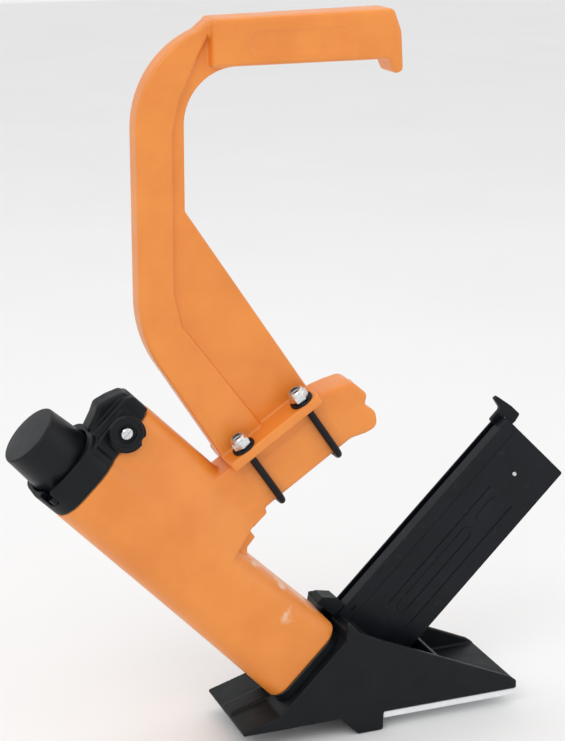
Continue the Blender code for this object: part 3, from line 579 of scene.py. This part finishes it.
def build_handle():
    """A thick rim, a thin web inside it that spreads into a gusset, a grip with a thumb lip, and a foot."""
    rim = [(-4, 556.6), (-12.6, 555.6)] + arc((7, 478), 76, 112, 180, 28) + arc((27, 352), 96, 180, 214, 12)
    rim += [point_on_arm(-17.3, 31), point_on_arm(22.5, 31)]
    rim += [(-35.6, 331), (-41, 356), (-41, 476), (-36, 498), (-20, 532), (-10, 549)]
    web = [(0, 548)] + arc((7, 478), 70, 112, 180, 28) + arc((27, 352), 90, 180, 214, 12)
    web += [point_on_arm(-14, 31), point_on_arm(69, 31), (-31, 417)] + arc((10, 480), 41, 180, 92, 20)
    grip = fillet((
        (-12, 522, 2), (-12, 557, 4), (131, 560, 5), (137.5, 543, 16), (139.5, 513, 4), (132.8, 511, 3),
        (127.5, 522.5, 3),
    ))
    solids = placed(BASE, [
        slab(rim, 9.5, bevel=2.5),
        slab(web, 5, bevel=1),
        slab(grip, 15.5, bevel=4),
    ])
    foot = fillet(((-17.5, -29, 3), (69.5, -29, 4), (69.5, 29, 4), (-17.5, 29, 12)))
    solids += placed(ARM, [column(foot, 24.3, FOOT_TOP)])
    label = fillet(((17, 531, 7), (17, 547, 7), (94, 548, 7), (94, 531, 7)))
    cuts = placed(BASE, [slab(label, 1.4, middle=side * 15.9) for side in (-1, 1)])
    holes = [(x, side * U_BOLT_REACH) for x in U_BOLTS for side in (-1, 1)]
    cuts += placed(ARM, [cylinder((x, y, 0), (x, y, 33.5), U_BOLT_ROD + 0.4) for x, y in holes])
    mesh = worked(solids, cuts, cast_look(FINE_VOXEL, 8, 0.4))
    piece("handle_casting", mesh, ORANGE, "tool", ["handle"])


def build_frame_cap():
    """A ring and a hump, with open pockets for two screws; the casting covers the two beside the hump."""
    ring = fillet(((-31.5, -30.5, 21), (31.5, -30.5, 21), (31.5, 30.5, 21), (-31.5, 30.5, 21)), 20)
    hump = fillet(((27, 310, 0), (27, 331.2, 0), (67, 331, 5), (72.3, 325, 4), (72.3, 310, 0)))
    crest = fillet((
        (31, 312, 0), (31, 333.5, 0), (42, 337, 6), (50, 340.6, 5), (60, 337, 6), (70.5, 331.5, 5),
        (71.5, 312, 0),
    ))
    x, z = DISC
    solids = placed(DRIVE, [
        column(ring, 309.1, 331.5),
        column(chest_outline(-0.4), 309.15, 327),
        slab(hump, 14.5, bevel=2.5),
        slab(crest, 9, bevel=2.5),
        cylinder((x, -8, z), (x, -23.2, z), 8),
    ])
    covered = [place for place in CAP_SCREWS if place[0] > 0]
    solids += placed(DRIVE, [cylinder((*place, 309.2), (*place, 327), 5.6) for place in covered])
    cuts = [
        cylinder((0, 0, 313), (0, 0, 345), CAP_WELL, sides=96),
        cylinder((0, 0, 300), (0, 0, 320), 7.4),
        cylinder((52, 0, 300), (52, 0, 330), EXHAUST_BORE),
        cylinder((x + 8.7, 0, z), (x + 8.7, -30, z), 2.5),
        cylinder((x, -12, z), (x, -30, z), 2.3),
    ]
    for place in CAP_SCREWS:
        cuts.append(cylinder((*place, 300), (*place, 320.3), 2.6, sides=32))
        if place not in covered:
            mouth = [1.3 * value for value in place]
            cuts.append(cylinder((*place, 320), (*place, 345), 5.2, sides=48))
            cuts.append(cylinder((*mouth, 320), (*mouth, 345), 5, sides=48))
    mesh = worked(solids, placed(DRIVE, cuts), cast_look(0.6 * MM, 9, 0.4))
    piece("cap_casting", mesh, BLACK_CAST, "tool", ["frame_cap"])


def build_shoe():
    """A hollow wedge: side walls that rise to a peak, a well on either side of the magazine, and a hook."""
    half = 42.5
    wall = 4.5
    side = fillet((
        (0, 0, 0), (0, 2.8, 0), (31.3, 12.1, 0), (86.9, 67.7, 0), (88.9, 85.6, 2), (97.8, 74.2, 2),
        (116, 64.8, 3), (236.5, 10.9, 0), (242, 6.8, 1.5), (242, 0, 0),
    ))
    hook = fillet(((120.7, 3, 0), (120.7, -15.5, 1), (98.7, -15.5, 1), (79.9, 3, 0)))
    pocket = fillet((
        (49, 115, 0), (91.8, 72.4, 0), (97, 77.6, 0), (106, 77, 0), (106, 30, 6), (120, 6, 4), (166, 5.2, 0),
        (166, 120, 0), (49, 121, 0),
    ))
    solids = placed(BASE, [
        slab(side, half),
        slab(hook, half - 0.01),
        slab(((1.5, 2), (1.5, 5), (36, 16), (36, 8)), 9),
    ])
    cuts = placed(BASE, [
        slab(pocket, half - wall),
        slab(((170.5, 120), (170.5, 5.5), (236, 6.5), (256, 7), (256, 120)), half - wall),
    ])
    cuts += placed(DRIVE, [
        block((5.2, -9.4, -14.4), (300, 9.4, 150)),
        block((-9.3, -12.3, -40), (5.9, 12.3, 80)),
    ])
    far_peak = block((84, 30, 77), (96, 45, 90))
    cuts += placed(BASE, [far_peak])
    mesh = worked(solids, cuts, cast_look(COARSE_VOXEL, 2, 0.4))
    piece("shoe_casting", mesh, BLACK_CAST, "tool", ["shoe"])


# ---------------------------------------------------------------- head


def build_strike_cap():
    """A rubber cap with a rolled rim, a flat face and a fine moulding step above the skirt."""
    outer = [(27.2, 323.6), (27.2, 327.2), (26.9, 327.8), (26.9, 329.4), (27.1, 330), (24.95, 361.4)]
    rim = arc((23, CAP_TOP - 1.9), 1.9, 0, 90, 8)
    face = [(0, CAP_TOP)]
    hollow = [(0, 350), (19.4, 350), (20, 349.4), (20, 324.2), (20.6, 323.6)]
    cap = turned(outer + rim + face + hollow, 128)
    mesh = worked(placed(DRIVE, [cap]), placed(DRIVE, [cylinder((0, 0, 340), (0, 0, 356), 7.3)]))
    piece("strike_cap_rubber", mesh, BLACK_RUBBER, "strike", ["strike_cap"], sharp=40)


def helix(radius, low, high, turns, steps=28):
    count = turns * steps
    points = []
    for i in range(count + 1):
        angle = 2 * math.pi * i / steps
        height = low + (high - low) * i / count
        points.append((radius * math.cos(angle), radius * math.sin(angle), height))
    return points


def wire(points, radius, place):
    """A round bar along a run of points, as a closed mesh in the row frame."""
    curve = bpy.data.curves.new("wire", "CURVE")
    curve.dimensions = "3D"
    curve.bevel_depth = radius
    curve.bevel_resolution = 4
    curve.use_fill_caps = True
    spline = curve.splines.new("POLY")
    spline.points.add(len(points) - 1)
    for point, co in zip(spline.points, points):
        point.co = (*co, 1)
    guide = bpy.data.objects.new("wire", curve)
    bpy.context.scene.collection.objects.link(guide)
    mesh = evaluated(guide)
    bpy.data.objects.remove(guide)
    bpy.data.curves.remove(curve)
    mesh.transform(place)
    return mesh


def build_plunger_spring():
    spring = wire(helix(11, 314.4, 344.2, 6), 1.1, DRIVE)
    obj = piece("plunger_coil", spring, BRIGHT_STEEL, "tool", ["plunger_spring"])
    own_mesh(obj)


def build_deflector():
    """A back plate with one notch, a smaller ring with a raised lip before it, and a screw in its middle."""
    x, z = DISC
    plate_middle = (-0.5, -2.5)
    plate = slab(arc(plate_middle, 14.3, 0, 360, 96)[:-1], 1.35, middle=-24.85, bevel=0.6)
    ring = turned([
        (7.8, 25), (13.2, 25), (13.1, 28.4), (12.6, 29.2), (11.7, 29.4), (11.1, 29.1), (10.8, 28.5),
        (9.1, 28.3), (8.6, 28.6), (7.8, 28.4),
    ], 96)
    floor = turned([(2.5, 25), (9, 25), (9, 27.1), (6.2, 27.1), (5.9, 26.5), (2.5, 26.5)], 72)
    for bm in (ring, floor):
        bm.transform(Matrix.Rotation(math.pi / 2, 4, "X"))
    notch_angle = math.radians(-70)
    notch_x = 17.2 * math.cos(notch_angle) + plate_middle[0]
    notch_z = 17.2 * math.sin(notch_angle) + plate_middle[1]
    cuts = [
        cylinder((notch_x, -15, notch_z), (notch_x, -35, notch_z), 5),
        cylinder((0, -15, 0), (0, -35, 0), 2.5),
    ]
    place = DRIVE @ Matrix.Translation((x, 0, z))
    mesh = worked(placed(place, [plate, ring, floor]), placed(place, cuts), machined_look(0.3))
    piece("deflector_disc", mesh, BLACK_MACHINED, "deflector", ["exhaust_deflector"])
    head = turned([(0, 27.4), (4.6, 27.4), (4.7, 28), (4.4, 29.6), (3.4, 30.3), (0, 30.4)], 64)
    head.transform(Matrix.Rotation(math.pi / 2, 4, "X"))
    shank = cylinder((0, -13, 0), (0, -28, 0), 2)
    slots = [block((-6, -31, -0.45), (6, -29.2, 0.45)), block((-0.45, -31, -3), (0.45, -29.2, 3))]
    mesh = worked(placed(place, [head, shank]), placed(place, slots), machined_look(0.15))
    piece("deflector_screw_head", mesh, BRIGHT_STEEL, "tool", ["deflector_screw"])


def build_cap_screws():
    for number, place in enumerate(CAP_SCREWS, 1):
        head = turned([(0, 320.3), (3.8, 320.3), (3.9, 320.9), (3.9, 324.9), (3.4, 325.6), (0, 325.6)], 48)
        head.transform(Matrix.Translation((*place, 0)))
        socket = column([(place[0] + x, place[1] + y) for x, y in arc((0, 0), 2.3, 0, 300, 5)], 322.6, 327)
        shank = cylinder((*place, 289), (*place, 321), 2.1, sides=32)
        mesh = worked(placed(DRIVE, [head, shank]), placed(DRIVE, [socket]), machined_look(0.12))
        piece(f"cap_bolt_{number}", mesh, BLACK_STEEL, "tool", [f"cap_screw_{number}"])


# ---------------------------------------------------------------- handle fastenings


def thread(start, length, radius, pitch=1.27):
    """A threaded stud along Z: a turned profile of ridges, one for each pitch."""
    turns = int(length / pitch)
    profile = [(0, start)]
    for i in range(turns):
        z = start + i * pitch
        profile += [(radius - 0.45, z), (radius, z + pitch / 2)]
    end = start + turns * pitch
    profile += [(radius - 0.45, end), (radius - 0.9, end + 0.5), (0, end + 0.5)]
    return turned(profile, 40)


def hex_nut(flats, height):
    """A hexagon chamfered at both ends."""
    inner = flats / 2
    corner = inner / math.cos(math.radians(30))
    prism = column(arc((0, 0), corner, 0, 300, 5), 0, height)
    chamfer = turned([
        (0, -0.01), (inner - 0.3, -0.01), (corner + 0.1, 1.0), (corner + 0.1, height - 1.0),
        (inner - 0.3, height + 0.01), (0, height + 0.01),
    ], 72)
    first, second = helper(prism), helper(chamfer)
    add_boolean(first, "INTERSECT", second)
    mesh = evaluated(first)
    bm = bmesh.new()
    bm.from_mesh(mesh)
    for obj in (first, second):
        bpy.data.objects.remove(obj)
    return bm


def build_rod(number, x):
    """A black rod bent round the arm at x, with a threaded stud on each leg."""
    corner = 8
    low = ARM_UNDERSIDE - 0.3 - U_BOLT_ROD + corner
    bend = [(x, y, z) for y, z in arc((-U_BOLT_REACH + corner, low), corner, 180, 270, 14)]
    run = [(x, -U_BOLT_REACH, FOOT_TOP + 1)] + bend
    run += [(x, -y, z) for _, y, z in reversed(run)]
    bm = bmesh.new()
    bm.from_mesh(wire(run, U_BOLT_ROD, ARM))
    solids = [cleaned(bm)]
    for side in (-1, 1):
        stud = thread(FOOT_TOP + 0.2, 8, U_BOLT_ROD)
        solids += placed(ARM @ Matrix.Translation((x, side * U_BOLT_REACH, 0)), [stud])
    mesh = worked(solids)
    piece(f"u_bolt_rod_{number}", mesh, BLACK_STEEL, "tool", [f"u_bolt_{number}"], sharp=40)


def build_washer(number, place):
    profile = [(9.1, 0.3), (9.4, 0.6), (9.4, 1.8), (9.1, 2.1), (3.6, 2.1), (3.3, 1.9), (3.3, 0.5), (3.6, 0.3)]
    mesh = worked(placed(place, [turned(profile)]))
    node = f"washer_{number}"
    piece(f"plain_washer_{number}", mesh, BLACK_STEEL, "tool", [node], sharp=40)


def build_nut(number, place):
    """A plated lock nut: a hexagon with a round collar, each nut turned by its own angle."""
    turn = Matrix.Translation((0, 0, 2.4)) @ Matrix.Rotation(math.radians(17 * number), 4, "Z")
    collar = turned([(3.2, 5.2), (6.3, 5.2), (6.2, 8.2), (5.4, 9), (3.2, 9)], 64)
    nut = [hex_nut(NUT_FLATS, NUT_HEIGHT - 2.6), collar]
    bore = [cylinder((0, 0, 0), (0, 0, 14), 3.2), cylinder((0, 0, 8.6), (0, 0, 14), 4.4)]
    mesh = worked(placed(place @ turn, nut), placed(place, bore), machined_look(0.12))
    piece(f"hex_nut_{number}", mesh, BRIGHT_STEEL, "tool", [f"nut_{number}"])


def build_u_bolts():
    for i, x in enumerate(U_BOLTS):
        build_rod(i + 1, x)
        for number, y in ((2 * i + 1, -U_BOLT_REACH), (2 * i + 2, U_BOLT_REACH)):
            place = ARM @ Matrix.Translation((x, y, FOOT_TOP))
            build_washer(number, place)
            build_nut(number, place)


# ---------------------------------------------------------------- magazine


def build_near_plate():
    """A pressed plate with two grooves, a blank label with a sunk panel, a blank badge and a rivet hole."""
    near = fillet(((5.6, -5, 0), (14.6, -14, 0), (257.5, -14, 2), (257.5, 48.3, 1), (5.6, 48.3, 0)))
    lines = [
        fillet(((80, 31, 0.6), (80, 32.4, 0.6), (208, 32.4, 0.6), (208, 31, 0.6))),
        fillet(((75, 2.1, 0.6), (75, 3.5, 0.6), (208, 3.5, 0.6), (208, 2.1, 0.6))),
    ]
    label = fillet(((81, 12, 6), (81, 24, 6), (172, 24, 6), (172, 12, 6)))
    badge = fillet(((180, 13, 5), (180, 23, 5), (205, 23, 5), (205, 13, 5)))
    pressed = [slab(shape, 0.55, middle=-MAGAZINE_HALF, bevel=0.3) for shape in (label, badge)]
    cuts = [slab(line, 0.6, middle=-MAGAZINE_HALF - 0.1) for line in lines]
    panel = fillet(((84, 14.2, 3.8), (84, 21.8, 3.8), (169, 21.8, 3.8), (169, 14.2, 3.8)))
    cuts.append(slab(panel, 0.6, middle=-MAGAZINE_HALF - 0.6))
    cuts.append(cylinder((229, -20, 21.5), (229, 0, 21.5), 1.5, sides=32))
    plate = slab(near, SHEET / 2, middle=SHEET / 2 - MAGAZINE_HALF)
    mesh = worked(placed(DRIVE, [plate] + pressed), placed(DRIVE, cuts), machined_look(0.15))
    piece("near_plate", mesh, BLACK_STEEL, "tool", ["magazine_plate_near"])


def build_magazine_cover():
    """The narrow channel along the magazine's upper edge, with a slot near the nose."""
    side = fillet(((36.5, 48.6, 0), (257.5, 48.6, 0), (257.5, 61.2, 0), (43, 61.2, 3)))
    cover = placed(DRIVE, [
        slab(side, SHEET / 2, middle=SHEET / 2 - MAGAZINE_HALF),
        block((46.5, 0.01 - MAGAZINE_HALF, 59.7), (257.4, 1.2, 61.19)),
    ])
    mesh = worked(cover, placed(DRIVE, [block((56, -12, 53.2), (62, -8.2, 55.6))]), machined_look(0.3))
    piece("cover_channel", mesh, BLACK_STEEL, "tool", ["magazine_cover"])


def build_clamp():
    """The block that holds the magazine to the nose."""
    clamp = fillet(((43.2, 61.5, 0), (43.2, 82.5, 1), (49.5, 82.5, 1.5), (56.5, 72, 1.5), (56.5, 61.5, 0)))
    mesh = worked(placed(DRIVE, [slab(clamp, 8.4, bevel=0.8)]), (), machined_look(0.2))
    piece("clamp_block", mesh, BLACK_MACHINED, "tool", ["magazine_clamp"])


def build_tab():
    """The hooked strip that rides with the pusher."""
    tab = fillet((
        (248, 57.9, 0), (258.6, 57.9, 0), (258.6, 47.6, 0), (262, 47.2, 1), (269, 48.6, 2), (268.8, 60, 4),
        (266.3, 76, 1), (262.8, 77, 1), (260.6, 66, 3), (248, 66, 2),
    ))
    mesh = worked(placed(DRIVE, [slab(tab, 2.1, middle=4.3, bevel=0.3)]), (), machined_look(0.15))
    piece("tab_hook", mesh, BLACK_STEEL, "pusher_block", ["pusher_tab"])


def build_nose():
    """The black flange under the cylinder, with a stepped rim, and the gasket on top of it."""
    foot = fillet(((-36, -35, 14), (35.8, -35, 14), (35.8, 35, 14), (-36, 35, 14)), 16)
    lip = fillet(((-35.2, -34.2, 13.4), (35, -34.2, 13.4), (35, 34.2, 13.4), (-35.2, 34.2, 13.4)), 16)
    seal = fillet(((-35, -33.6, 14), (35.5, -33.6, 14), (35.5, 33.6, 14), (-35, 33.6, 14)), 16)
    for name, node, look, slot, solids in (
        ("flange_ring", "nose_flange", BLACK_MACHINED, "black_casting",
         [column(foot, 59.9, 63.8), column(lip, 63.4, 65.4)]),
        ("gasket_ring", "nose_gasket", FIBRE, "fibre_gasket", [column(seal, 65.7, 66.5)]),
    ):
        hole = cylinder((0, 0, 50), (0, 0, 80), 9)
        mesh = worked(placed(DRIVE, solids), placed(DRIVE, [hole]), machined_look(0.2))
        piece(name, mesh, look, "tool", [node])


# ---------------------------------------------------------------- stage, light and camera


def build_stage():
    size = 6
    bm = bmesh.new()
    bmesh.ops.create_grid(bm, x_segments=1, y_segments=1, size=size)
    mesh = mesh_of(bm, "floor")
    material, nodes, links, shader = new_shader("pale_floor")
    tint = ramp(nodes, links, noise(nodes, links, 3), 0.3, 0.7, 0, 1)
    links.new(mixed(nodes, links, tint, (0.86, 0.86, 0.86), (0.88, 0.88, 0.88)), shader.inputs["Base Color"])
    shader.inputs["Roughness"].default_value = 0.7
    mesh.materials.append(material)
    floor = bpy.data.objects.new("floor", mesh)
    floor.location.z = -0.0005
    bpy.context.scene.collection.objects.link(floor)


def area_light(name, place, target, size, power):
    light = bpy.data.lights.new(name, "AREA")
    light.shape = "DISK"
    light.size = size
    light.energy = power
    obj = bpy.data.objects.new(name, light)
    obj.location = place
    obj.rotation_euler = (Vector(target) - Vector(place)).to_track_quat("-Z", "Y").to_euler()
    bpy.context.scene.collection.objects.link(obj)


def build_light():
    middle = (0, 0, 0.28)
    area_light("key", (-1.5, -1.6, 2.2), middle, 1.6, 16)
    area_light("fill", (1.9, -1.6, 1.2), middle, 1.8, 5)
    area_light("top", (0.1, 0.5, 2.4), middle, 1.6, 8)
    world = bpy.data.worlds.new("studio")
    world.use_nodes = True
    sky = world.node_tree.nodes["Background"]
    sky.inputs["Color"].default_value = (1, 1, 1, 1)
    sky.inputs["Strength"].default_value = 0.88
    bpy.context.scene.world = world


def build_camera():
    place = Vector((-0.5134, -1.2716, 0.7111))
    target = Vector((-0.0137, 0, 0.3006))
    camera = bpy.data.cameras.new("camera")
    camera.lens = 89.65
    camera.clip_start = 0.01
    obj = bpy.data.objects.new("camera", camera)
    obj.location = place
    roll = Quaternion((0, 0, 1), math.radians(0.2))
    obj.rotation_mode = "QUATERNION"
    obj.rotation_quaternion = (target - place).to_track_quat("-Z", "Y") @ roll
    bpy.context.scene.collection.objects.link(obj)
    bpy.context.scene.camera = obj
    bpy.context.scene.view_settings.view_transform = "Standard"


dress_cad_nodes()
build_housing()
build_handle()
build_frame_cap()
build_shoe()
build_strike_cap()
build_plunger_spring()
build_deflector()
build_cap_screws()
build_u_bolts()
build_near_plate()
build_magazine_cover()
build_clamp()
build_tab()
build_nose()
build_stage()
build_light()
build_camera()
